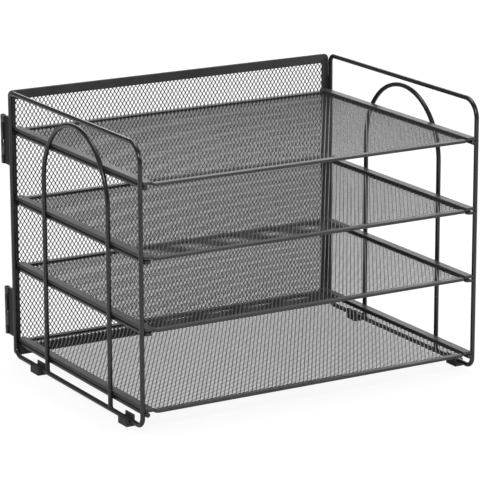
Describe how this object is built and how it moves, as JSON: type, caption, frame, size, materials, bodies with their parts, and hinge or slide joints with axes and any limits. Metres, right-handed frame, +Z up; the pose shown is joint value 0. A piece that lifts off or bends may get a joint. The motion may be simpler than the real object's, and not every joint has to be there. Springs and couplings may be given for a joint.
{
  "type": "letter tray",
  "caption": "Stacked desk letter tray: mesh trays between two wire side frames that hinge on a mesh back panel.",
  "frame": {"origin": "middle of the bounding box's footprint, on the surface the feet stand on", "axes": "+Z up, -Y towards the open front, +X to the right when facing the front"},
  "size_m": [0.33, 0.249, 0.239],
  "materials": {
    "wire": "satin black powder coat on round steel wire",
    "strip": "satin black powder coat on folded steel strip",
    "mesh": "satin black powder coat on expanded metal",
    "hinge": "black painted steel butt hinge",
    "foot_rubber": "matt black rubber"
  },
  "bodies": {
    "back_panel": {"back_panel_mesh": "mesh", "back_panel_top_rim": "strip", "back_panel_bottom_rim": "strip", "back_panel_left_rim": "strip", "back_panel_right_rim": "strip", "left_upper_hinge_panel_leaf": "hinge", "left_upper_hinge_pin": "hinge", "left_lower_hinge_panel_leaf": "hinge", "left_lower_hinge_pin": "hinge", "right_upper_hinge_panel_leaf": "hinge", "right_upper_hinge_pin": "hinge", "right_lower_hinge_panel_leaf": "hinge", "right_lower_hinge_pin": "hinge"},
    "left_frame": {"left_loop_wire": "wire", "left_arch_wire": "wire", "left_crossbar_1": "wire", "left_crossbar_2": "wire", "left_crossbar_3": "wire", "left_crossbar_4": "wire", "left_upper_hinge_frame_leaf": "hinge", "left_lower_hinge_frame_leaf": "hinge", "left_front_foot": "foot_rubber", "left_back_foot": "foot_rubber"},
    "right_frame": {"right_loop_wire": "wire", "right_arch_wire": "wire", "right_crossbar_1": "wire", "right_crossbar_2": "wire", "right_crossbar_3": "wire", "right_crossbar_4": "wire", "right_upper_hinge_frame_leaf": "hinge", "right_lower_hinge_frame_leaf": "hinge", "right_front_foot": "foot_rubber", "right_back_foot": "foot_rubber"},
    "tray_1": {"tray_1_mesh_floor": "mesh", "tray_1_left_rail": "strip", "tray_1_right_rail": "strip", "tray_1_front_rim": "strip", "tray_1_rear_rim": "strip"},
    "tray_2": {"tray_2_mesh_floor": "mesh", "tray_2_left_rail": "strip", "tray_2_right_rail": "strip", "tray_2_front_rim": "strip", "tray_2_rear_rim": "strip"},
    "tray_3": {"tray_3_mesh_floor": "mesh", "tray_3_left_rail": "strip", "tray_3_right_rail": "strip", "tray_3_front_rim": "strip", "tray_3_rear_rim": "strip"},
    "tray_4": {"tray_4_mesh_floor": "mesh", "tray_4_left_rail": "strip", "tray_4_right_rail": "strip", "tray_4_front_rim": "strip", "tray_4_rear_rim": "strip"}
  },
  "joints": [
    {"name": "left_frame_hinge", "type": "hinge", "parent": "back_panel", "child": "left_frame", "pos_m": [-0.1612, 0.1222, 0.1189], "axis": [0, 0, -1], "range_deg": [0, 180]},
    {"name": "right_frame_hinge", "type": "hinge", "parent": "back_panel", "child": "right_frame", "pos_m": [0.1612, 0.1222, 0.1189], "axis": [0, 0, 1], "range_deg": [0, 180]},
    {"name": "tray_1_lift", "type": "slide", "parent": "back_panel", "child": "tray_1", "axis": [0, 0, 1], "range_m": [0, 0.012]},
    {"name": "tray_2_lift", "type": "slide", "parent": "back_panel", "child": "tray_2", "axis": [0, 0, 1], "range_m": [0, 0.012]},
    {"name": "tray_3_lift", "type": "slide", "parent": "back_panel", "child": "tray_3", "axis": [0, 0, 1], "range_m": [0, 0.012]},
    {"name": "tray_4_lift", "type": "slide", "parent": "back_panel", "child": "tray_4", "axis": [0, 0, 1], "range_m": [0, 0.012]}
  ]
}
